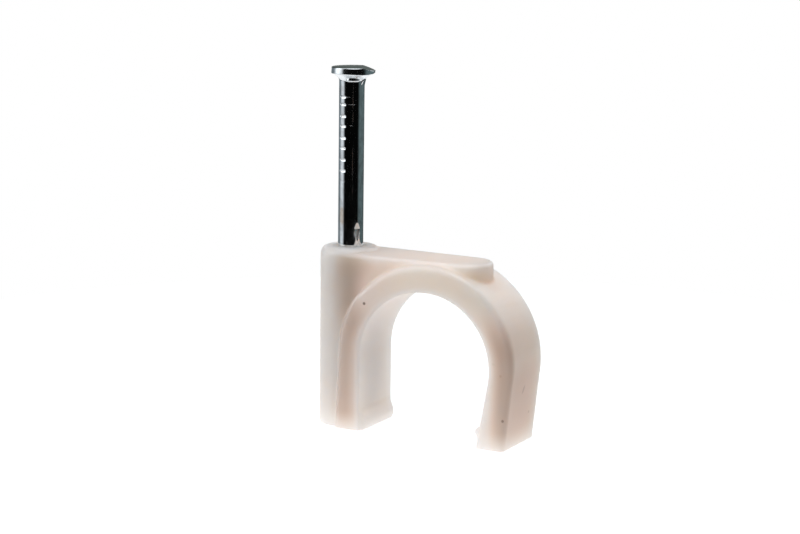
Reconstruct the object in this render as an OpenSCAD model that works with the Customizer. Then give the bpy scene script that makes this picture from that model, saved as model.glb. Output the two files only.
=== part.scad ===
// Nail-in cable clip: a moulded hook that holds one round cable against a wall,
// with a headed steel nail standing ready in its boss.
// Millimetres. The wall is the plane z = 0, +Z points away from it,
// +X runs from the nail to the free leg, and the cable lies along Y.

/* [Cable] */
// Diameter of the cable that the channel takes
cable_d = 10; // [7:0.5:16]
// Gap left between the cable and the wall
wall_gap = 0.35; // [0:0.05:2]
// How much narrower the channel is between the feet
mouth_grip = 0.85; // [0:0.05:1.5]

/* [Arch] */
// Width of the arch along the cable
arch_w = 4.9; // [4.5:0.1:8]
// Wall over the top of the cable
crown_t = 1.9; // [1.3:0.05:3]
// Wall on the nail's side of the cable
near_t = 1.5; // [1.3:0.05:3]
// Wall on the free side of the cable
far_t = 1.75; // [1.3:0.05:3]
// Thickness of the near leg at the wall
near_foot_t = 1.85; // [1.4:0.05:3]
// Thickness of the free leg at the wall
far_foot_t = 2.05; // [1.4:0.05:3]
// Rounding of the arch's outer edge on the front face
front_edge_r = 0.35; // [0.1:0.05:0.6]
// Rounding of the arch's outer edge on the back, where the mould parts
back_edge_r = 0.1; // [0.05:0.05:0.6]
// Rounding of the channel's edges
channel_edge_r = 0.1; // [0.05:0.05:0.4]

/* [Snap lips] */
// How far a lip stands into the channel
lip_out = 0.45; // [0.2:0.05:0.8]
// Height at which both lips start
lip_top = 1.7; // [1.4:0.05:2.5]
// Height of the near lip's nose
near_nose_h = 0.6; // [0.4:0.05:1.2]
// Height of the free leg's lip nose
far_nose_h = 1.15; // [0.6:0.05:1.3]
// Setback of a lip's ends from the arch's faces
lip_inset = 0.2; // [0.1:0.05:1]
// Slope of a lip's ends towards its nose
lip_end_slope = 25; // [0:5:50]

/* [Boss] */
// Plastic around the nail
boss_wall = 1.2; // [0.8:0.05:2.5]
// Plastic between the nail and the channel
bore_wall = 1.18; // [0.8:0.02:3]
// How far the boss stands above the web
boss_rise = 0.25; // [0:0.05:2]
// Rounding of the boss's top edge
boss_edge_r = 0.55; // [0.1:0.05:0.75]

/* [Web] */
// Thickness of the web at its round end, to which it tapers from the boss
web_t = 3.7; // [2:0.1:4]
// How far the web stands above the arch's crown
web_rise = 0.2; // [0:0.05:1]
// How far the web runs past the cable's centre
web_reach = 3.9; // [2:0.1:6]
// Rounding of the web's top edge
web_edge_r = 0.3; // [0.05:0.05:0.5]

/* [Nail] */
// Diameter of the shank
nail_d = 1.8; // [1.4:0.1:2.5]
// Length over the head
nail_len = 25; // [20:1:40]
// Height of the nail's point above the wall
tip_h = 0.3; // [0:0.1:3]
// Length of the four-sided point
point_len = 2.6; // [1.5:0.1:4]
// Diameter of the head
head_d = 3.1; // [2.8:0.1:5]
// Height of the head's rim
rim_h = 0.45; // [0.3:0.05:1]
// Height of the flare below the rim
flare_h = 0.6; // [0.3:0.05:1.2]
// Rise of the head's top towards its middle
dome_h = 0.06; // [0.02:0.01:0.2]
// Radial clearance of the nail in the boss
bore_fit = 0.01; // [0:0.005:0.05]

/* [Grip marks] */
// Number of marks along each side of the shank
mark_count = 9; // [1:1:12]
// Distance from mark to mark
mark_pitch = 0.8; // [0.5:0.05:1]
// Distance from the head's top to the first mark
mark_first = 2.3; // [1.5:0.1:4]
// Depth of a mark
mark_depth = 0.05; // [0.02:0.01:0.1]
// Height of a mark along the shank
mark_h = 0.22; // [0.1:0.02:0.4]
// Angle that a mark covers round the shank
mark_arc = 70; // [30:5:120]
// Direction that the first row of marks faces
mark_dir = -115; // [-180:5:180]

/* [Hidden] */
$fn = 96;
edge_steps = 5;
// Angle that a cutter's round edge turns through before it runs out
edge_turn = 75;
lip_steps = 10;
// Overshoot of a cutter past the face that it opens
past = 1;
// Depth of a lip's root in its leg
root = 0.4;
// Where a flat face leaves a round one, it lies this far inside the round surface,
// which runs on by this angle, so that the two cross cleanly
flat_step = 0.01;
round_lap = 8;

cable_r = cable_d / 2;
nail_r = nail_d / 2;
bore_r = nail_r + bore_fit;
head_r = head_d / 2;
boss_r = bore_r + boss_wall;

// The channel's centre and the inner faces of the feet, from the nail's axis
near_x = bore_r + bore_wall;
cable_x = near_x + cable_r;
cable_h = cable_r + wall_gap;
mouth_x = near_x + cable_d - mouth_grip;

// The outer arc touches the crown, the near side and the far side
outer_r = cable_r + (near_t + far_t) / 2;
outer_x = cable_x + (far_t - near_t) / 2;
outer_h = cable_h + cable_r + crown_t - outer_r;

// The web's flanks touch the boss and the web's round end
web_run = cable_x + web_reach - web_t / 2;
web_lean = asin((boss_r - web_t / 2) / web_run);
web_low = cable_h / 2;
web_top = outer_h + outer_r + web_rise;
boss_top = web_top + boss_rise;
head_top = tip_h + nail_len;
rim_low = head_top - dome_h - rim_h;
neck_h = rim_low - flare_h;

// The frame's origin is the middle of the part's width, on the wall
far_side = outer_x + outer_r;
middle_x = (far_side - boss_r) / 2;

// Angle off the vertical of the line that touches a circle of radius r and meets
// the wall at the distance reach from its centre, which is h above the wall.
// It is positive where the line leans in towards the centre.
function lean(r, reach, h) = atan2(h, reach) - acos(r / norm([reach, h]));

near_lean = -lean(outer_r, outer_x - near_x + near_foot_t, outer_h);
far_lean = lean(outer_r, mouth_x + far_foot_t - outer_x, outer_h);
mouth_lean = lean(cable_r, mouth_x - cable_x, cable_h);

// Points of a round edge
function arc(x, y, r, from, to) =
    [for (i = [0:edge_steps]) let (a = from + (to - from) * i / edge_steps) [x + r * cos(a), y + r * sin(a)]];

// How far a lip stands out at the height z, and where it starts above the wall
function lip_shape(z, nose) = lip_out * (1 + cos(180 * (z - nose) / (lip_top - nose))) / 2;
function lip_low(nose) = max(0, 2 * nose - lip_top);
function lip_heights(nose) =
    [for (i = [0:lip_steps]) lip_low(nose) + (lip_top - lip_low(nose)) * i / lip_steps];

// Half the arch's wall section, from its back to its front: both outer edges rounded
module arch_section() {
    half = arch_w / 2;
    polygon(concat(
        [[cable_r / 2, -half]],
        arc(outer_r - back_edge_r, back_edge_r - half, back_edge_r, -90, 0),
        arc(outer_r - front_edge_r, half - front_edge_r, front_edge_r, 0, 90),
        [[cable_r / 2, half]]
    ));
}

// Half the section of the channel, flared where it leaves the two faces
module channel_section() {
    half = arch_w / 2;
    e = channel_edge_r;
    polygon(concat(
        [[0, -half - past], [cable_r + e + past, -half - past]],
        arc(cable_r + e, e - half, e, 180 + edge_turn, 180),
        arc(cable_r + e, half - e, e, 180, 180 - edge_turn),
        [[cable_r + e + past, half + past], [0, half + past]]
    ));
}

// Carries a section up the near leg, over the arc and down the far leg
module hook_sweep(x, h, near_turn, far_turn) {
    leg = h + cable_d;
    arc_turn = 180 - near_turn + far_turn;
    translate([x, 0, h]) rotate([90, 0, 0]) rotate([0, 0, -far_turn]) {
        rotate([0, 0, -round_lap]) rotate_extrude(angle = arc_turn + 2 * round_lap) children();
        rotate([90, 0, 0]) linear_extrude(leg) translate([-flat_step, 0]) children();
        rotate([0, 0, arc_turn]) rotate([90, 0, 0]) translate([0, 0, -leg])
            linear_extrude(leg) translate([-flat_step, 0]) children();
    }
}

module below_wall() {
    size = 4 * (far_side + arch_w);
    translate([-size / 2, -size / 2, -size]) cube(size);
}

module arch() {
    difference() {
        hook_sweep(outer_x, outer_h, near_lean, far_lean) arch_section();
        below_wall();
    }
}

module channel() {
    hook_sweep(cable_x, cable_h, 0, mouth_lean) channel_section();
}

module boss() {
    rotate_extrude() polygon(concat(
        [[0, 0], [boss_r, 0]],
        arc(boss_r - boss_edge_r, boss_top - boss_edge_r, boss_edge_r, 0, 90),
        [[0, boss_top]]
    ));
}

// One side of the web's section, from a plane at the distance inner to its flank
module web_side(inner, half) {
    e = web_edge_r;
    polygon(concat(
        [[inner, web_low], [half, web_low]],
        arc(half - e, web_top - e, e, 0, 90),
        [[inner, web_top]]
    ));
}

module web() {
    for (side = [0, 1])
        mirror([0, side, 0]) rotate([0, 0, -web_lean]) rotate([90, 0, 90])
            linear_extrude(web_run) web_side(-web_t / 4, boss_r - flat_step);
    translate([web_run, 0, 0]) rotate([0, 0, -90 - round_lap])
        rotate_extrude(angle = 180 + 2 * round_lap) web_side(0, web_t / 2);
}

// A snap lip with its leg's face at x = 0: its outline in X and Z runs along the cable,
// and its outline in X and Y closes in towards the nose
module lip(nose, slope) {
    low = lip_low(nose);
    half = arch_w / 2 - lip_inset;
    reach = 2 * lip_out;
    end_half = half - reach * tan(lip_end_slope);
    back = -root - lip_top * slope;
    intersection() {
        rotate([90, 0, 0]) linear_extrude(arch_w, center = true) polygon(concat(
            [for (z = lip_heights(nose)) [lip_shape(z, nose) - z * slope, z]],
            [[-root - lip_top * slope, lip_top], [-root - low * slope, low]]
        ));
        translate([0, 0, -past]) linear_extrude(lip_top + 2 * past) polygon([
            [back, -half], [0, -half], [reach, -end_half], [reach, end_half], [0, half], [back, half]
        ]);
    }
}

module near_lip() {
    translate([near_x, 0, 0]) lip(near_nose_h, 0);
}

module far_lip() {
    translate([mouth_x, 0, 0]) mirror([1, 0, 0]) lip(far_nose_h, tan(mouth_lean));
}

// The moulding: hook, boss and web in one piece, drilled for the nail
module clip_body() {
    color([0.92, 0.87, 0.83])
    translate([-middle_x, 0, 0]) {
        difference() {
            union() {
                arch();
                boss();
                web();
            }
            channel();
            translate([0, 0, -past]) cylinder(r = bore_r, h = boss_top + 2 * past);
        }
        near_lip();
        far_lip();
    }
}

// Half the nail's outline, square at the point's end
module nail_half() {
    crown_r = rim_h / 3;
    polygon(concat(
        [[0, tip_h], [nail_r, tip_h], [nail_r, neck_h], [head_r, rim_low]],
        arc(head_r - crown_r, rim_low + rim_h - crown_r, crown_r, 0, 75),
        [[0, head_top]]
    ));
}

// Two crossed wedges leave the four-sided point
module point_wedge() {
    rotate([90, 0, 0]) linear_extrude(nail_d + past, center = true) polygon([
        [0, tip_h], [nail_r, tip_h + point_len], [nail_r + past, tip_h + point_len],
        [nail_r + past, tip_h - past], [-nail_r - past, tip_h - past],
        [-nail_r - past, tip_h + point_len], [-nail_r, tip_h + point_len]
    ]);
}

// One nick of the wire grip, centred on the X axis
module grip_mark() {
    rotate([0, 0, -mark_arc / 2]) rotate_extrude(angle = mark_arc) polygon([
        [nail_r - mark_depth, 0], [nail_r + mark_depth, -mark_h], [nail_r + mark_depth, mark_h]
    ]);
}

// The wire nail, gripped from both sides while its head was formed
module nail() {
    color("silver")
    translate([-middle_x, 0, 0]) difference() {
        rotate_extrude() nail_half();
        for (turn = [0, 90]) rotate([0, 0, turn]) point_wedge();
        for (side = [0, 180], i = [0:mark_count - 1])
            rotate([0, 0, mark_dir + side]) translate([0, 0, head_top - mark_first - i * mark_pitch]) grip_mark();
    }
}

clip_body();
nail();
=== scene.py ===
import math

import bmesh
import bpy
from mathutils import Matrix, Vector


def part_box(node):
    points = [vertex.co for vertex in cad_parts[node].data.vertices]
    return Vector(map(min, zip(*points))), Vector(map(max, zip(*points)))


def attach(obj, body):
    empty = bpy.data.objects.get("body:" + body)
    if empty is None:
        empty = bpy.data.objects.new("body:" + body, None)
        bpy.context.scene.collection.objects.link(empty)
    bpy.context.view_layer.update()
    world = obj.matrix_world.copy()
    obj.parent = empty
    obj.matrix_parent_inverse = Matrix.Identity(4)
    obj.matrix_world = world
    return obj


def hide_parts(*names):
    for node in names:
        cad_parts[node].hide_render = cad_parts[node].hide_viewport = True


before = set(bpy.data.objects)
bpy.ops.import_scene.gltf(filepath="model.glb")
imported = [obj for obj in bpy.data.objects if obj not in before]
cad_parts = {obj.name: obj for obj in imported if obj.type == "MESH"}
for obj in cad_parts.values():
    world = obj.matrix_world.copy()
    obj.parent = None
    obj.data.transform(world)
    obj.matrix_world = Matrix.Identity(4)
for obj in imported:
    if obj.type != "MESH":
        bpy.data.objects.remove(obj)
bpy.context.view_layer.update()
mm = 0.001
degree = math.radians(1)
nailLow, nailHigh = (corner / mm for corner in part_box("nail"))
nailAxis = Vector(((nailLow.x + nailHigh.x) / 2, (nailLow.y + nailHigh.y) / 2, 0))  # where it meets the wall
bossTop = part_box("clip_body")[1].z / mm


# the photo's viewpoint, in mm and degrees; the aim is measured from the nail's axis on the wall plane
viewpoint = {
    "aim": (3.22, 1.40, 11.20),
    "distance": 154.3,
    "azimuth": 27.98,
    "elevation": 10.51,
    "roll": 0.73,
    "lens": 98.6,
    "nearClip": 10,
    "farClip": 5000,
}


def compass(turn):  # plan direction, turned to the right of the camera's own side by degrees
    a = math.radians(viewpoint["azimuth"] + turn)
    return Vector((math.sin(a), -math.cos(a), 0))


def planAngle(turn):  # the same direction as an angle about +Z, in radians
    way = compass(turn)
    return math.atan2(way.y, way.x)


def placeCamera():
    v = viewpoint
    tilt = math.radians(v["elevation"])
    roll = math.radians(v["roll"])
    back = compass(0) * math.cos(tilt) + Vector((0, 0, math.sin(tilt)))
    level = compass(90)
    rise = back.cross(level)
    right = level * math.cos(roll) + rise * math.sin(roll)
    up = rise * math.cos(roll) - level * math.sin(roll)
    data = bpy.data.cameras.new("photoCamera")
    data.lens = v["lens"]
    data.clip_start = v["nearClip"] * mm
    data.clip_end = v["farClip"] * mm
    camera = bpy.data.objects.new("photoCamera", data)
    bpy.context.scene.collection.objects.link(camera)
    stand = (nailAxis + Vector(v["aim"]) + back * v["distance"]) * mm
    camera.matrix_world = Matrix.Translation(stand) @ Matrix((right, up, back)).transposed().to_4x4()
    bpy.context.scene.camera = camera


placeCamera()
print("camera placed")


# node writing: arithmetic on a Wire adds Math nodes, node() adds any other node
class Wire:
    def __init__(self, socket):
        self.socket = socket

    def calc(self, operation, *values):  # a Math node in the same tree
        return node(self.socket.id_data, "ShaderNodeMath", {"operation": operation}, dict(enumerate(values)))

    def port(self, name):  # another output of the same node
        return Wire(self.socket.node.outputs[name])

    def clamp(self):
        return node(self.socket.id_data, "ShaderNodeClamp", {}, {"Value": self})

    def step(self, start, end):  # smooth rise from 0 at start to 1 at end
        return node(self.socket.id_data, "ShaderNodeMapRange", {"interpolation_type": "SMOOTHSTEP"},
                    {"Value": self, "From Min": start, "From Max": end})

    def __add__(self, other):
        return self.calc("ADD", self, other)

    def __radd__(self, other):
        return self.calc("ADD", other, self)

    def __sub__(self, other):
        return self.calc("SUBTRACT", self, other)

    def __rsub__(self, other):
        return self.calc("SUBTRACT", other, self)

    def __mul__(self, other):
        return self.calc("MULTIPLY", self, other)

    def __rmul__(self, other):
        return self.calc("MULTIPLY", other, self)

    def __truediv__(self, other):
        return self.calc("DIVIDE", self, other)

    def __rtruediv__(self, other):
        return self.calc("DIVIDE", other, self)

    def __pow__(self, other):
        return self.calc("POWER", self, other)

    def __neg__(self):
        return self.calc("MULTIPLY", self, -1)

    def __abs__(self):
        return self.calc("ABSOLUTE", self)


def findSocket(sockets, key):
    if isinstance(key, int):
        return sockets[key]
    return next(s for s in sockets if s.name == key and s.enabled)


def node(tree, kind, settings, sockets, out=None):
    made = tree.nodes.new(kind)
    for name, value in settings.items():
        setattr(made, name, value)
    for key, value in sockets.items():
        socket = findSocket(made.inputs, key)
        if isinstance(value, Wire):
            tree.links.new(value.socket, socket)
        else:
            socket.default_value = value
    if not made.outputs:
        return made
    if out:
        return Wire(findSocket(made.outputs, out))
    return Wire(next(s for s in made.outputs if s.enabled))


def newMaterial(name):
    material = bpy.data.materials.new(name)
    material.use_nodes = True
    material.node_tree.nodes.clear()
    return material, material.node_tree


def opaque(color):
    return (*color, 1)


def mixColors(tree, share, first, second, blend="MIX"):
    settings = {"data_type": "RGBA", "blend_type": blend}
    return node(tree, "ShaderNodeMix", settings, {"Factor": share, "A": first, "B": second}, "Result")


def noise(tree, where, size, detail=2.0, roughness=0.5):  # size is a feature's width in mm
    return node(tree, "ShaderNodeTexNoise", {},
                {"Vector": where, "Scale": 1 / (size * mm), "Detail": detail, "Roughness": roughness})


def dot(tree, first, second):
    return node(tree, "ShaderNodeVectorMath", {"operation": "DOT_PRODUCT"}, {0: first, 1: second}, "Value")


def distance(tree, vector):
    return node(tree, "ShaderNodeVectorMath", {"operation": "LENGTH"}, {0: vector}, "Value")


def stretched(tree, where, factors):
    return node(tree, "ShaderNodeMapping", {}, {"Vector": where, "Scale": factors})


def bumps(tree, height, depth):
    return node(tree, "ShaderNodeBump", {}, {"Height": height, "Distance": depth, "Strength": 1.0})


speckFade = (1.3, 0.5)  # a speck fades in between these shares of its reach


def nearSpeck(tree, where, speck):  # 1 in the middle of a speck, 0 outside it
    middle = Vector(speck["place"]) * mm
    lean = (math.radians(speck["lean"]), 0, 0)
    aside = node(tree, "ShaderNodeVectorMath", {"operation": "SUBTRACT"}, {0: where, 1: middle})
    turned = node(tree, "ShaderNodeMapping", {}, {"Vector": aside, "Rotation": lean})
    reaches = stretched(tree, turned, tuple(1 / (reach * mm) for reach in speck["reach"]))
    return distance(tree, reaches).step(*speckFade)


def output(tree, shader):
    node(tree, "ShaderNodeOutputMaterial", {}, {"Surface": shader})


# clip plastic: satin, slightly translucent, warm where light has come through it
clipPlastic = {
    "color": (0.925, 0.755, 0.685),
    "deepColor": (0.91, 0.725, 0.65),
    "mottleSize": 2.2,
    "mottleEdges": (0.35, 0.65),
    "mottleShare": 0.5,
    "scatterScale": 4.0,
    "scatterReach": (1.0, 0.88, 0.76),
    "scatterWeight": 1.0,
    "gloss": 0.42,
    "glossSize": 1.4,
    "glossSpread": 0.10,
    "skinSize": 0.35,
    "skinDepth": 0.004,
}

# painted shade: the dark band where the nail shades the light that passes through the translucent boss,
# painted into the plastic's colour; mm, across from the band's middle, up from the wall, and down from the
# boss's top
nailShadowPaint = {
    "color": (0.64, 0.51, 0.42),
    "share": 0.95,
    "middle": 1.10,
    "left": 1.6,
    "right": 1.3,
    "rightSpread": 1.0,
    "spreadRise": (10.4, 12.2),
    "rise": (5.5, 9.5),
    "topFade": (0.1, 0.6),
}

# painted light and shade on the skin by place: painted shade, brown, on the free leg and on the front of the
# leg by the nail, where light reaches only through the plastic; painted light high on the arch, at the web's
# end, at the feet and along the channel. Each pair is where a tone starts and where it is full, in mm: Reach
# from the channel's axis (crown
# and foot: above the wall), Rise above the wall, Aside from the axis along x, From along x, Face along y
wallShadeAndLightPaint = {
    "axis": (1.225, 5.35),
    "shadeColor": (0.62, 0.49, 0.42),
    "shadeReach": (4.75, 6.15),
    "freeFront": 1.0,
    "freeFace": (-1.6, -2.4),
    "freeAside": (3, 5.5),
    "freeRise": (10, 7),
    "freeSide": 0.45,
    "sideRise": (6.5, 4.5),
    "ledgeFace": (-2.15, -2.42),
    "nailFront": 0.9,
    "nailAside": (-3, -5),
    "nailRise": (9.5, 7.5),
    "crownColor": (0.99, 0.78, 0.70),
    "crownFrom": (-3, 0),
    "edgeFrom": (1.5, 4),
    "edgeFace": (-0.8, -1.8),
    "crownReach": (8.6, 10.6),
    "crownShare": 0.9,
    "footColor": (0.975, 0.825, 0.765),
    "footReach": (1.5, 0.0),
    "footShare": 0.6,
    "channelColor": (0.965, 0.85, 0.81),
    "channelReach": (5.5, 5.0),
    "channelShare": 0.45,
}

# dark bits in the plastic, mm: place, reach along x, y and z, lean about x in degrees, and depth of tint
specks = [
    {"place": (-3.38, -2.45, 9.16), "reach": (0.11, 0.11, 0.11), "lean": 0,
     "color": (0.22, 0.15, 0.12), "share": 0.9},
    {"place": (7.38, -2.43, 2.18), "reach": (0.10, 0.10, 0.11), "lean": 0,
     "color": (0.24, 0.17, 0.14), "share": 0.8},
    {"place": (7.17, -2.45, 5.28), "reach": (0.10, 0.10, 0.10), "lean": 0,
     "color": (0.55, 0.40, 0.32), "share": 0.7},
    {"place": (7.83, -0.13, 3.97), "reach": (0.30, 0.13, 0.33), "lean": 30,
     "color": (0.52, 0.40, 0.36), "share": 0.6},
    {"place": (7.63, 1.20, 2.11), "reach": (0.20, 0.12, 0.10), "lean": 0,
     "color": (0.55, 0.42, 0.36), "share": 0.6},
    {"place": (6.63, -2.45, 6.04), "reach": (0.14, 0.10, 0.10), "lean": 0,
     "color": (0.70, 0.58, 0.50), "share": 0.6},
]


def nailShade(x, z):  # how far the painted shade of the nail darkens the boss, 0 to 1
    k = nailShadowPaint
    across = x - (nailAxis.x + k["middle"])
    right = k["right"] + z.step(*k["spreadRise"]) * k["rightSpread"]
    shade = across.step(-k["left"], 0) * across.step(right, 0) * z.step(*k["rise"])
    start, full = k["topFade"]
    return shade * z.step(bossTop - start, bossTop - full) * k["share"]


# painted shade and painted light on the clip's skin
def paintShadeAndLight(tree, color, x, y, z):
    w = wallShadeAndLightPaint
    aside = x - w["axis"][0]
    above = z.calc("MAXIMUM", z - w["axis"][1], 0)
    reach = (aside * aside + above * above) ** 0.5
    outer = reach.step(*w["shadeReach"])
    front = y.step(*w["freeFace"]) * outer
    side = z.step(*w["sideRise"]) * w["freeSide"]
    free = front.calc("MAXIMUM", front * w["freeFront"], side)
    free = free * aside.step(*w["freeAside"]) * z.step(*w["freeRise"])
    ledge = y.step(*w["ledgeFace"])  # the arch's own front, proud of the boss and the web
    held = aside.step(*w["nailAside"]) * z.step(*w["nailRise"]) * ledge * outer * w["nailFront"]
    # painted shade: brown on the legs' fronts, where light reaches only through the plastic
    color = mixColors(tree, free + held, color, opaque(w["shadeColor"]))
    edge = x.step(*w["edgeFrom"]) * y.step(*w["edgeFace"])
    crown = ledge.calc("MAXIMUM", ledge * x.step(*w["crownFrom"]), edge)
    # painted light: paler on the crown and the web's end, at the feet and along the channel
    paintedLight = {
        "crown": crown * z.step(*w["crownReach"]),
        "foot": z.step(*w["footReach"]),
        "channel": reach.step(*w["channelReach"]),
    }
    for name, share in paintedLight.items():
        color = mixColors(tree, share * w[name + "Share"], color, opaque(w[name + "Color"]))
    return color


def makeClipPlastic():
    s = clipPlastic
    material, tree = newMaterial("clipPlastic")
    where = node(tree, "ShaderNodeTexCoord", {}, {}, "Object")
    x, y, z = (dot(tree, where, axis) / mm for axis in ((1, 0, 0), (0, 1, 0), (0, 0, 1)))
    mottle = noise(tree, where, s["mottleSize"], detail=3).step(*s["mottleEdges"])
    color = mixColors(tree, mottle * s["mottleShare"], opaque(s["color"]), opaque(s["deepColor"]))
    # painted shade of the nail in the boss
    color = mixColors(tree, nailShade(x, z), color, opaque(nailShadowPaint["color"]))
    # painted shade and painted light by place
    color = paintShadeAndLight(tree, color, x, y, z)
    for speck in specks:
        share = nearSpeck(tree, where, speck) * speck["share"]
        color = mixColors(tree, share, color, opaque(speck["color"]))
    gloss = s["gloss"] + (noise(tree, where, s["glossSize"]) - 0.5) * s["glossSpread"]
    skin = noise(tree, where, s["skinSize"], detail=3)
    shader = node(tree, "ShaderNodeBsdfPrincipled", {"subsurface_method": "RANDOM_WALK"}, {
        "Base Color": color,
        "Roughness": gloss,
        "Normal": bumps(tree, skin, s["skinDepth"] * mm),
        "Subsurface Weight": s["scatterWeight"],
        "Subsurface Radius": s["scatterReach"],
        "Subsurface Scale": s["scatterScale"] * mm,
    })
    output(tree, shader)
    return material


# wire nail, mm: the CAD part gives its length and the width of its head
nailForm = {
    "shankRadius": 0.90,
    "sides": 192,
    "topRings": 18,
    "crownRadius": 0.05,
    "crownRings": 8,
    "rimHeight": 0.43,
    "rimTilt": 4,
    "rimRings": 8,
    "rimUndercut": 0.04,
    "dome": 0.06,
    "flareHeight": 0.52,
    "flareCurve": 1.7,
    "flareRings": 32,
    "ringStep": 0.04,
    "fineDepth": 1,
    "buriedStep": 0.40,
    "pointLength": 2.6,
    "tipGap": 0.02,
}

# nail steel: bright zinc plate over drawn wire; a mark's place is its turn about the nail and its height,
# headDrops are from the head's top and buriedDrops from the boss's
nailSteel = {
    "color": (0.77, 0.80, 0.82),
    "dullColor": (0.46, 0.48, 0.49),
    "cloudSize": 0.5,
    "cloudStretch": 0.5,
    "cloudEdges": (0.4, 0.7),
    "cloudShare": 0.6,
    "fleckColor": (0.34, 0.30, 0.27),
    "fleckSize": 0.30,
    "fleckStretch": 0.6,
    "fleckEdges": (0.45, 0.65),
    "fleckShare": 0.35,
    # painted shade: the shank hidden in the boss is dark to deepen the shade there
    "buriedShadeColor": (0.05, 0.045, 0.04),
    "buriedDrops": (0.1, 0.3),
    "gloss": 0.06,
    "glossSpread": 0.05,
    "headGloss": 0.10,
    "headDrops": (1.1, 0.9),
    "grainSize": 0.06,
    "grainStretch": 0.03,
    "grainDepth": 0.0006,
    "waveSize": 0.5,
    "waveStretch": 0.4,
    "waveDepth": 0.004,
    "tanColor": (0.52, 0.40, 0.30),
    "tanShare": 0.9,
    "tanLeast": 0.5,
    "tanStain": {"place": (-42, 14.85), "reach": (0.42, 0.42, 0.62)},
    "seamTurn": 7,
    "seamWide": 0.05,
    "seamFront": (0, 0.5),
    "seamRise": (15, 19),
    "seamGapSize": 0.2,
    "seamGapStretch": 0.3,
    "seamGapEdges": (0.42, 0.58),
    "seamColor": (0.33, 0.16, 0.08),
    "seamTint": 0.85,
    "seamShare": 0.22,
    "seamGloss": 0.3,
    "scuffs": [
        {"place": (32, 13.62), "reach": (0.24, 0.24, 0.42), "gloss": 0.26},
        {"place": (-20, 23.20), "reach": (0.30, 0.30, 0.022), "gloss": 0.35},
        {"place": (2, 22.69), "reach": (0.36, 0.36, 0.022), "gloss": 0.35},
        {"place": (0, 21.22), "reach": (0.10, 0.10, 0.025), "gloss": 0.35},
    ],
}


def onShank(mark):  # the same mark as a speck on the nail's skin
    turn, height = mark["place"]
    middle = nailAxis + compass(turn) * nailForm["shankRadius"] + Vector((0, 0, height))
    return {"place": middle, "reach": mark["reach"], "lean": 0}


def drawnOut(tree, where, share):  # for a pattern that runs along the wire
    return stretched(tree, where, (1, 1, share))


def seamLine(tree, where, height):  # a thin broken line down the wire's front, 0 to 1
    s = nailSteel
    facing = compass(s["seamTurn"])
    across = compass(s["seamTurn"] + 90)
    aside = abs(dot(tree, where, across) / mm - nailAxis.dot(across))
    ahead = dot(tree, where, facing) / mm - nailAxis.dot(facing)
    broken = noise(tree, drawnOut(tree, where, s["seamGapStretch"]), s["seamGapSize"], detail=3)
    line = aside.step(s["seamWide"], 0) * ahead.step(*s["seamFront"]) * broken.step(*s["seamGapEdges"])
    return line * height.step(*s["seamRise"])


def makeNailSteel():
    s = nailSteel
    material, tree = newMaterial("nailSteel")
    where = node(tree, "ShaderNodeTexCoord", {}, {}, "Object")
    height = dot(tree, where, (0, 0, 1)) / mm
    start, full = s["headDrops"]
    onHead = height.step(nailHigh.z - start, nailHigh.z - full)
    offHead = 1 - onHead
    cloud = noise(tree, drawnOut(tree, where, s["cloudStretch"]), s["cloudSize"], detail=4)
    cloud = cloud.step(*s["cloudEdges"])
    color = mixColors(tree, cloud * s["cloudShare"], opaque(s["color"]), opaque(s["dullColor"]))
    fleck = noise(tree, drawnOut(tree, where, s["fleckStretch"]), s["fleckSize"], detail=4, roughness=0.7)
    fleck = fleck.step(*s["fleckEdges"]) * offHead * s["fleckShare"]
    color = mixColors(tree, fleck, color, opaque(s["fleckColor"]))
    patchy = s["tanLeast"] + cloud * (1 - s["tanLeast"])
    tan = nearSpeck(tree, where, onShank(s["tanStain"])) * patchy * s["tanShare"]
    color = mixColors(tree, tan, color, opaque(s["tanColor"]))
    seam = seamLine(tree, where, height) * offHead
    color = mixColors(tree, seam * s["seamTint"], color, opaque(s["seamColor"]))
    seam = seam * s["seamShare"]
    start, full = s["buriedDrops"]
    buriedShade = height.step(bossTop - start, bossTop - full)  # painted shade: the shank inside the boss is made dark to deepen the shade there
    color = mixColors(tree, buriedShade, color, opaque(s["buriedShadeColor"]))
    scuff = sum(nearSpeck(tree, where, onShank(mark)) * mark["gloss"] for mark in s["scuffs"])
    gloss = s["gloss"] + cloud * s["glossSpread"] + scuff + onHead * s["headGloss"] + seam * s["seamGloss"]
    grain = noise(tree, drawnOut(tree, where, s["grainStretch"]), s["grainSize"], detail=3) * s["grainDepth"]
    wave = noise(tree, drawnOut(tree, where, s["waveStretch"]), s["waveSize"]) * s["waveDepth"]
    shader = node(tree, "ShaderNodeBsdfPrincipled", {}, {
        "Base Color": color,
        "Roughness": gloss,
        "Normal": bumps(tree, (grain + wave) * offHead, mm),
        "Metallic": 1 - seam,
    })
    output(tree, shader)
    return material


plastic = makeClipPlastic()
steel = makeNailSteel()
print("materials made")


def addObject(name, mesh):
    piece = bpy.data.objects.new(name, mesh)
    bpy.context.scene.collection.objects.link(piece)
    return piece


def settle(piece):  # modifiers become plain mesh
    graph = bpy.context.evaluated_depsgraph_get()
    mesh = bpy.data.meshes.new_from_object(piece.evaluated_get(graph))
    piece.modifiers.clear()
    piece.data = mesh
    mesh.name = piece.name


def smoothShade(mesh):
    mesh.polygons.foreach_set("use_smooth", [True] * len(mesh.polygons))
    mesh.update()


def hump(x, width):
    return math.exp(-(x / width) ** 2)


def rise(x, start, end):  # smooth step from 0 to 1
    share = min(max((x - start) / (end - start), 0), 1)
    return share * share * (3 - 2 * share)


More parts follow.
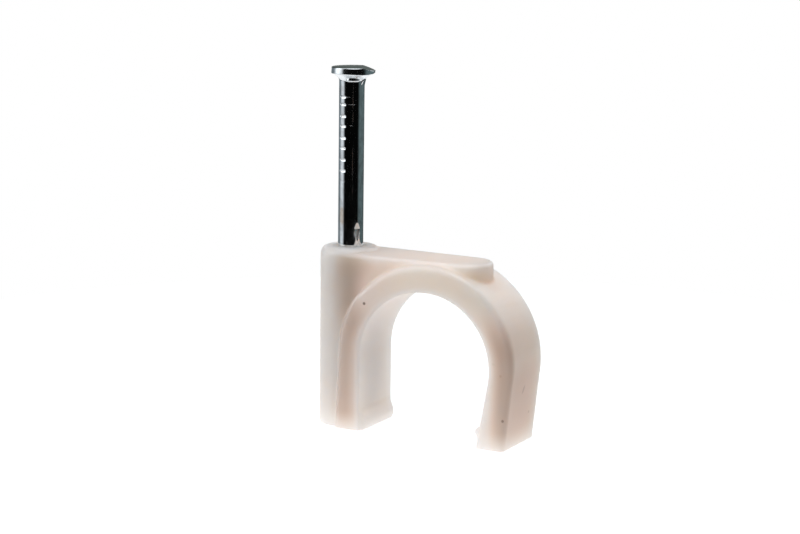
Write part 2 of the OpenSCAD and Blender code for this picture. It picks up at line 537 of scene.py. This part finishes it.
# moulded clip, mm: the CAD solid with a finely meshed skin whose edges are softened as in a worn mould;
# the ledge's reach is from the channel's axis
clipBody = {
    "weld": 1e-4,
    "voxel": 0.085,
    "softenTurns": 5,
    "softenShare": 0.5,
    "boreRadius": 0.912,
    "ledge": 0.24,
    "ledgeReach": (5.1, 6.2, 7.6),
    "ledgeFront": (-1.0, -1.9),
    "ledgeTop": (10.4, 9.0),
}


def clearBore(vertex):  # softening must not draw the bore's wall into the nail
    out = (vertex.co - nailAxis).to_2d()
    if out.length < clipBody["boreRadius"]:
        vertex.co.xy = nailAxis.to_2d() + out.normalized() * clipBody["boreRadius"]


def spreadLedge(vertex):  # the arch's front spreads a little over the boss
    s = clipBody
    channelX, channelZ = wallShadeAndLightPaint["axis"]
    away = vertex.co - Vector((channelX, 0, channelZ))
    if away.x >= 0:
        return
    away = Vector((away.x, 0, max(away.z, 0)))
    inner, outer, far = s["ledgeReach"]
    share = rise(away.length, inner, outer) * rise(away.length, far, outer)
    share *= rise(vertex.co.y, *s["ledgeFront"]) * rise(vertex.co.z, *s["ledgeTop"])
    vertex.co += away.normalized() * s["ledge"] * share


def makeClipBody():
    s = clipBody
    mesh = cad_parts["clip_body"].data.copy()
    mesh.transform(Matrix.Scale(1 / mm, 4))
    solid = bmesh.new()
    solid.from_mesh(mesh)
    bmesh.ops.remove_doubles(solid, verts=solid.verts, dist=s["weld"])
    solid.to_mesh(mesh)
    solid.free()
    piece = addObject("moulded_clip", mesh)
    remesh = piece.modifiers.new("skin", "REMESH")
    remesh.mode = "VOXEL"
    remesh.voxel_size = s["voxel"]
    soften = piece.modifiers.new("soften", "SMOOTH")
    soften.factor = s["softenShare"]
    soften.iterations = s["softenTurns"]
    settle(piece)
    mesh = piece.data
    for vertex in mesh.vertices:
        clearBore(vertex)
        spreadLedge(vertex)
    mesh.transform(Matrix.Scale(mm, 4))
    mesh.materials.clear()
    mesh.materials.append(plastic)
    smoothShade(mesh)
    return piece


clip = makeClipBody()
print("clip body meshed:", len(clip.data.polygons), "faces")


# what the heading die left, mm and degrees; turns are from the camera's side, drops from the head's top
dieMarks = {
    "headShift": 0.09,
    "facetTurn": 90,
    "facetStart": 0.53,
    "facetSlope": 16,
    "rimReach": 0.4,
    "rimDrops": (0.15, 0.3),
    "sagTurn": 35,
    "sagSpan": 45,
    "sag": 0.06,
    "liftTurn": 100,
    "liftSpan": 38,
    "lift": 0.12,
    "neckDrop": 0.61,
    "beadTurn": 5,
    "beadSpan": 30,
    "beadRise": 0.25,
    "beadDrops": (0.66, 0.93),
    "beadEdge": 0.08,
    "toothTurns": (50, 84),
    "toothDrops": (1.30, 0.73),
    "toothSlope": 0.45,
    "toothRise": 0.12,
    "toothEdge": 3,
    "swellTurn": 98,
    "swellSpan": 24,
    "swellDrops": (1.40, 0.85),
    "swell": 0.10,
}

# a long knock low on the shank, deepest near its upper end, with a thin tail below
leafDent = {
    "turn": 32,
    "low": 12.90,
    "high": 14.37,
    "deepest": 0.72,
    "wide": 0.21,
    "tail": 0.12,
    "tailCurve": 1.4,
    "depth": 0.06,
}


def shares(count):  # even steps that end at 1
    return [(i + 1) / count for i in range(count)]


def nailOutline():  # radius and height of each ring, from the head's middle down to the point
    s = nailForm
    shank = s["shankRadius"]
    crown = s["crownRadius"]
    headRadius = (nailHigh.x - nailLow.x) / 2
    rimTop = nailHigh.z - s["dome"]
    rimLow = rimTop - s["rimHeight"]
    lean = math.tan(math.radians(s["rimTilt"]))
    flat = headRadius - crown - (s["rimHeight"] - crown) * lean
    rings = []
    for share in shares(s["topRings"]):
        rings.append((flat * share, nailHigh.z - s["dome"] * share ** 2))
    for share in shares(s["crownRings"]):
        turn = math.radians(90 * (1 - share))
        rings.append((flat + crown * math.cos(turn), rimTop - crown * (1 - math.sin(turn))))
    for share in shares(s["rimRings"]):
        down = (s["rimHeight"] - crown) * share
        rings.append((flat + crown + down * lean, rimTop - crown - down))
    underRim = headRadius - s["rimUndercut"]
    for share in shares(s["flareRings"]):
        spread = (1 - share) ** s["flareCurve"]
        rings.append((shank + (underRim - shank) * spread, rimLow - s["flareHeight"] * share))
    height = rimLow - s["flareHeight"]
    while height > nailLow.z + s["buriedStep"]:
        height -= s["ringStep"] if height > bossTop - s["fineDepth"] else s["buriedStep"]
        rings.append((shank, height))
    rings.append((shank, nailLow.z + s["tipGap"]))
    return rings


def beadHeight(turn, drop):  # a bead between the flare and the shank
    d = dieMarks
    aside = (turn - d["beadTurn"]) / d["beadSpan"]
    high, low = d["beadDrops"]
    if abs(aside) >= 1 or drop <= high:
        return 0
    return d["beadRise"] * math.sqrt(1 - aside * aside) * rise(drop, low + d["beadEdge"], low)


def toothHeight(turn, drop):  # a tooth that runs askew from the flare, where the neck is a little swollen
    d = dieMarks
    first, last = d["toothTurns"]
    low, high = d["toothDrops"]
    edge = low + (high - low) * (turn - first) / (last - first)
    tooth = min(max((edge - drop) * d["toothSlope"], 0), d["toothRise"])
    tooth *= rise(turn, first - d["toothEdge"], first)
    return tooth + d["swell"] * hump(turn - d["swellTurn"], d["swellSpan"]) * rise(drop, *d["swellDrops"])


def dentDepth(turn, height):
    k = leafDent
    along = (height - k["low"]) / (k["high"] - k["low"])
    if not 0 < along < 1:
        return 0
    below = along / k["deepest"]
    above = (1 - along) / (1 - k["deepest"])
    tail = k["tail"] + (1 - k["tail"]) * below ** k["tailCurve"]
    width = k["wide"] * min(tail, math.sqrt(above), 1)
    across = min(abs(turn - k["turn"]) * degree * nailForm["shankRadius"] / width, 1)
    return k["depth"] * min(below, above, 1) * (1 - across ** 2)


def nailPoint(turn, radius, height):  # a point of the outline, turned about the nail and marked
    s = nailForm
    d = dieMarks
    shank = s["shankRadius"]
    drop = nailHigh.z - height
    if drop > d["neckDrop"]:
        radius = max(radius, shank + beadHeight(turn, drop), shank + toothHeight(turn, drop))
    radius -= dentDepth(turn, height)
    a = planAngle(turn)
    side = max(abs(math.cos(a)), abs(math.sin(a)))  # the point has four flat sides
    radius = min(radius, shank * (height - nailLow.z) / s["pointLength"] / side)
    underRim = s["dome"] + s["rimHeight"]
    inHead = rise(drop, underRim + s["flareHeight"], underRim)
    place = compass(turn) * radius + compass(90) * d["headShift"] * inHead
    onRim = rise(radius, shank, shank + d["rimReach"]) * rise(drop, *d["rimDrops"])
    sag = d["sag"] * hump(turn - d["sagTurn"], d["sagSpan"])
    lift = d["lift"] * hump(turn - d["liftTurn"], d["liftSpan"])
    height -= onRim * (sag - lift)
    out = place.dot(compass(d["facetTurn"])) - d["facetStart"]
    height = min(height, nailHigh.z - math.tan(math.radians(d["facetSlope"])) * out)
    return nailAxis + place + Vector((0, 0, height))


# nicks from the dies that gripped the wire, mm and degrees
gripMarks = {
    "Count": 8,
    "Pitch": 0.765,
    "First": 22.66,
    "Lead": 0.51,
    "Depth": 0.032,
    "Weakest": 0.55,
    "Half Height": 0.09,
    "Arc": 33.0,
    "Direction": -105.0,
    "Jitter": 0.05,
    "Last Depth": 0.3,
    "Seed": 4,
}
nickFade = (1.15, 0.75)  # a nick fades in between these shares of its arc
leadRow = -1  # one more nick stands above the row, closer than the pitch


def gripTree():
    tree = bpy.data.node_groups.new("gripMarks", "GeometryNodeTree")
    face = tree.interface
    face.new_socket("Geometry", in_out="INPUT", socket_type="NodeSocketGeometry")
    for name, value in gripMarks.items():
        kind = "NodeSocketInt" if isinstance(value, int) else "NodeSocketFloat"
        face.new_socket(name, in_out="INPUT", socket_type=kind)
    face.new_socket("Axis", in_out="INPUT", socket_type="NodeSocketVector")
    face.new_socket("Material", in_out="INPUT", socket_type="NodeSocketMaterial")
    face.new_socket("Geometry", in_out="OUTPUT", socket_type="NodeSocketGeometry")
    given = node(tree, "NodeGroupInput", {}, {})
    where = node(tree, "GeometryNodeInputPosition", {}, {})
    out = node(tree, "ShaderNodeVectorMath", {"operation": "SUBTRACT"}, {0: where, 1: given.port("Axis")})
    x = node(tree, "ShaderNodeSeparateXYZ", {}, {"Vector": out}, "X")
    y = x.port("Y")
    z = x.port("Z")
    last = given.port("Count") - 1
    row = (given.port("First") - z) / given.port("Pitch")
    row = row.calc("MINIMUM", row.calc("MAXIMUM", row.calc("ROUND", row), leadRow), last)
    early = row.calc("LESS_THAN", row, 0)
    stray = node(tree, "FunctionNodeRandomValue", {"data_type": "FLOAT"},
                 {"Min": -1.0, "Max": 1.0, "ID": row, "Seed": given.port("Seed")})
    strength = node(tree, "FunctionNodeRandomValue", {"data_type": "FLOAT"},
                    {"Min": given.port("Weakest"), "Max": 1.0, "ID": row, "Seed": given.port("Seed") + 1})
    middle = given.port("First") - row * given.port("Pitch") + stray * given.port("Jitter")
    middle = middle - early * (given.port("Pitch") - given.port("Lead"))
    notch = (1 - abs(z - middle) / given.port("Half Height")).clamp()
    turn = x.calc("ARCTAN2", y, x) - given.port("Direction") * degree
    facing = turn.calc("COSINE", turn * 2)  # 1 in the middle of both rows of nicks
    arc = given.port("Arc") * degree
    inside = facing.step(*(arc.calc("COSINE", arc * share) for share in nickFade))
    faint = row.calc("LESS_THAN", last - 0.5, row) * (1 - given.port("Last Depth"))
    depth = given.port("Depth") * strength * notch * inside * (1 - faint)
    flat = node(tree, "ShaderNodeCombineXYZ", {}, {"X": x, "Y": y})
    outward = node(tree, "ShaderNodeVectorMath", {"operation": "NORMALIZE"}, {0: flat})
    shift = node(tree, "ShaderNodeVectorMath", {"operation": "SCALE"}, {0: outward, "Scale": -depth})
    moved = node(tree, "GeometryNodeSetPosition", {}, {"Geometry": given.port("Geometry"), "Offset": shift})
    whole = node(tree, "GeometryNodeRealizeInstances", {}, {"Geometry": moved})
    plated = node(tree, "GeometryNodeSetMaterial", {},
                  {"Geometry": whole, "Material": given.port("Material")})
    node(tree, "NodeGroupOutput", {}, {"Geometry": plated})
    return tree


def nodesModifier(piece, tree, values):
    modifier = piece.modifiers.new(tree.name, "NODES")
    modifier.node_group = tree
    for item in tree.interface.items_tree:
        if item.in_out == "INPUT" and item.name in values:
            modifier[item.identifier] = values[item.name]


def makeNail():
    sides = nailForm["sides"]
    turns = [360 * i / sides - 180 for i in range(sides)]
    solid = bmesh.new()
    loops = []
    for radius, height in nailOutline():
        loops.append([solid.verts.new(nailPoint(turn, radius, height)) for turn in turns])
    for upper, lower in zip(loops, loops[1:]):
        for i in range(sides):
            j = (i + 1) % sides
            solid.faces.new((upper[i], lower[i], lower[j], upper[j]))
    crown = solid.verts.new(nailPoint(0, 0, nailHigh.z))
    tip = solid.verts.new(nailAxis + Vector((0, 0, nailLow.z)))
    for i in range(sides):
        j = (i + 1) % sides
        solid.faces.new((crown, loops[0][i], loops[0][j]))
        solid.faces.new((tip, loops[-1][j], loops[-1][i]))
    bmesh.ops.recalc_face_normals(solid, faces=solid.faces)
    mesh = bpy.data.meshes.new("wire_nail")
    solid.to_mesh(mesh)
    solid.free()
    piece = addObject("wire_nail", mesh)
    nodesModifier(piece, gripTree(), {**gripMarks, "Axis": nailAxis, "Material": steel})
    settle(piece)
    piece.data.transform(Matrix.Scale(mm, 4))
    smoothShade(piece.data)
    return piece


nail = makeNail()
print("nail made:", len(nail.data.polygons), "faces")

for piece, cadNode, slotName in ((clip, "clip_body", "clip_plastic"), (nail, "nail", "nail_steel")):
    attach(piece, "root")
    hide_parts(cadNode)


# studio, mm and degrees: a white table lit from behind, in a dark room with soft panels of light around it
studio = {
    "floorRadius": 58,
    "floorSides": 128,
    "floorDrop": 0.02,
    "glowFront": 0.06,
    "glowBack": 0.95,
    "glowNear": 0.76,
    "glowSpread": 22,
    "nearSpread": (8, 13.5),
    "floorShown": 0.85,
    "floorColor": (0.30, 0.30, 0.30),
    "roomColor": (0.002, 0.002, 0.002),
    "backdrop": {"turn": 180, "wide": 22, "lift": -14, "tall": 14, "soft": 4},
}

# a panel's middle is its turn from the camera's side, to the right, and its lift; its reach to each side,
# and the softness of its edges, are in degrees too
lightPanels = {
    "overhead": {"turn": 0, "wide": 400, "lift": 90, "tall": 25, "soft": 8, "light": (3.52, 3.66, 3.82)},
    "leftLow": {"turn": -91, "wide": 20, "lift": -4, "tall": 14, "soft": 12, "light": (0.80, 0.84, 0.88)},
    "leftHigh": {"turn": -80, "wide": 22, "lift": 28, "tall": 25.5, "soft": 8, "light": (2.12, 2.18, 2.22)},
    "leftBack": {"turn": -135, "wide": 22, "lift": -10, "tall": 14, "soft": 10, "light": (0.20, 0.24, 0.26)},
    "rightBack": {"turn": 140, "wide": 18, "lift": 27, "tall": 18, "soft": 7, "light": (1.78, 1.82, 1.86)},
    "rightLow": {"turn": 107, "wide": 37, "lift": 2, "tall": 16, "soft": 12, "light": (0.13, 0.178, 0.184)},
    "front": {"turn": 0, "wide": 45, "lift": 48, "tall": 14, "soft": 10, "light": (0.56, 0.50, 0.47)},
    "back": {"turn": 180, "wide": 30, "lift": 14, "tall": 12, "soft": 4, "light": (0.11, 0.13, 0.12)},
}


def seenRays(tree):  # rays that look at the background: straight, mirrored and through
    paths = node(tree, "ShaderNodeLightPath", {}, {}, "Is Camera Ray")
    return paths, paths.calc("MAXIMUM", paths.port("Is Glossy Ray"), paths.port("Is Transmission Ray"))


def makeFloor():
    s = studio
    solid = bmesh.new()
    bmesh.ops.create_circle(solid, cap_ends=True, segments=s["floorSides"], radius=s["floorRadius"] * mm)
    mesh = bpy.data.meshes.new("table")
    solid.to_mesh(mesh)
    solid.free()
    mesh.transform(Matrix.Translation((0, 0, -s["floorDrop"] * mm)))
    floor = addObject("table", mesh)
    material, tree = newMaterial("table")
    where = node(tree, "ShaderNodeTexCoord", {}, {}, "Object")
    behind = dot(tree, where, compass(180)).step(-s["glowSpread"] * mm, s["glowSpread"] * mm)
    light = s["glowFront"] + behind * (s["glowBack"] - s["glowFront"])
    near, far = s["nearSpread"]
    under = distance(tree, where).step(far * mm, near * mm)
    light = light + under * (s["glowNear"] - light)
    straight, mirrored = seenRays(tree)
    seen = straight.calc("MAXIMUM", straight, mirrored)
    strength = light + (s["floorShown"] - light) * seen
    glow = node(tree, "ShaderNodeEmission", {}, {"Color": (1, 1, 1, 1), "Strength": strength})
    matt = node(tree, "ShaderNodeBsdfDiffuse", {}, {"Color": opaque(s["floorColor"])})
    output(tree, node(tree, "ShaderNodeAddShader", {}, {0: glow, 1: matt}))
    mesh.materials.append(material)


def inPanel(panel, turn, lift):  # 1 inside the panel, 0 outside
    aside = abs(turn.calc("WRAP", turn - panel["turn"], 180, -180))
    above = abs(lift - panel["lift"])
    inside = aside.step(panel["wide"] + panel["soft"], panel["wide"] - panel["soft"])
    return inside * above.step(panel["tall"] + panel["soft"], panel["tall"] - panel["soft"])


def makeWorld():
    world = bpy.data.worlds.new("studio")
    bpy.context.scene.world = world
    world.use_nodes = True
    tree = world.node_tree
    tree.nodes.clear()
    way = node(tree, "ShaderNodeTexCoord", {}, {}, "Generated")
    up = dot(tree, way, (0, 0, 1))
    lift = up.calc("ARCSINE", up) / degree
    ahead = dot(tree, way, compass(0))
    turn = ahead.calc("ARCTAN2", dot(tree, way, compass(90)), ahead) / degree
    light = opaque(studio["roomColor"])
    for panel in lightPanels.values():
        light = mixColors(tree, inPanel(panel, turn, lift), light, opaque(panel["light"]), "ADD")
    straight, mirrored = seenRays(tree)
    seen = straight.calc("MAXIMUM", straight, mirrored * inPanel(studio["backdrop"], turn, lift))
    white = node(tree, "ShaderNodeBackground", {}, {"Color": (1, 1, 1, 1)})
    room = node(tree, "ShaderNodeBackground", {}, {"Color": light})
    both = node(tree, "ShaderNodeMixShader", {}, {0: seen, 1: room, 2: white})
    node(tree, "ShaderNodeOutputWorld", {}, {"Surface": both})


makeFloor()
makeWorld()
bpy.context.scene.view_settings.view_transform = "Standard"
print("studio lit")
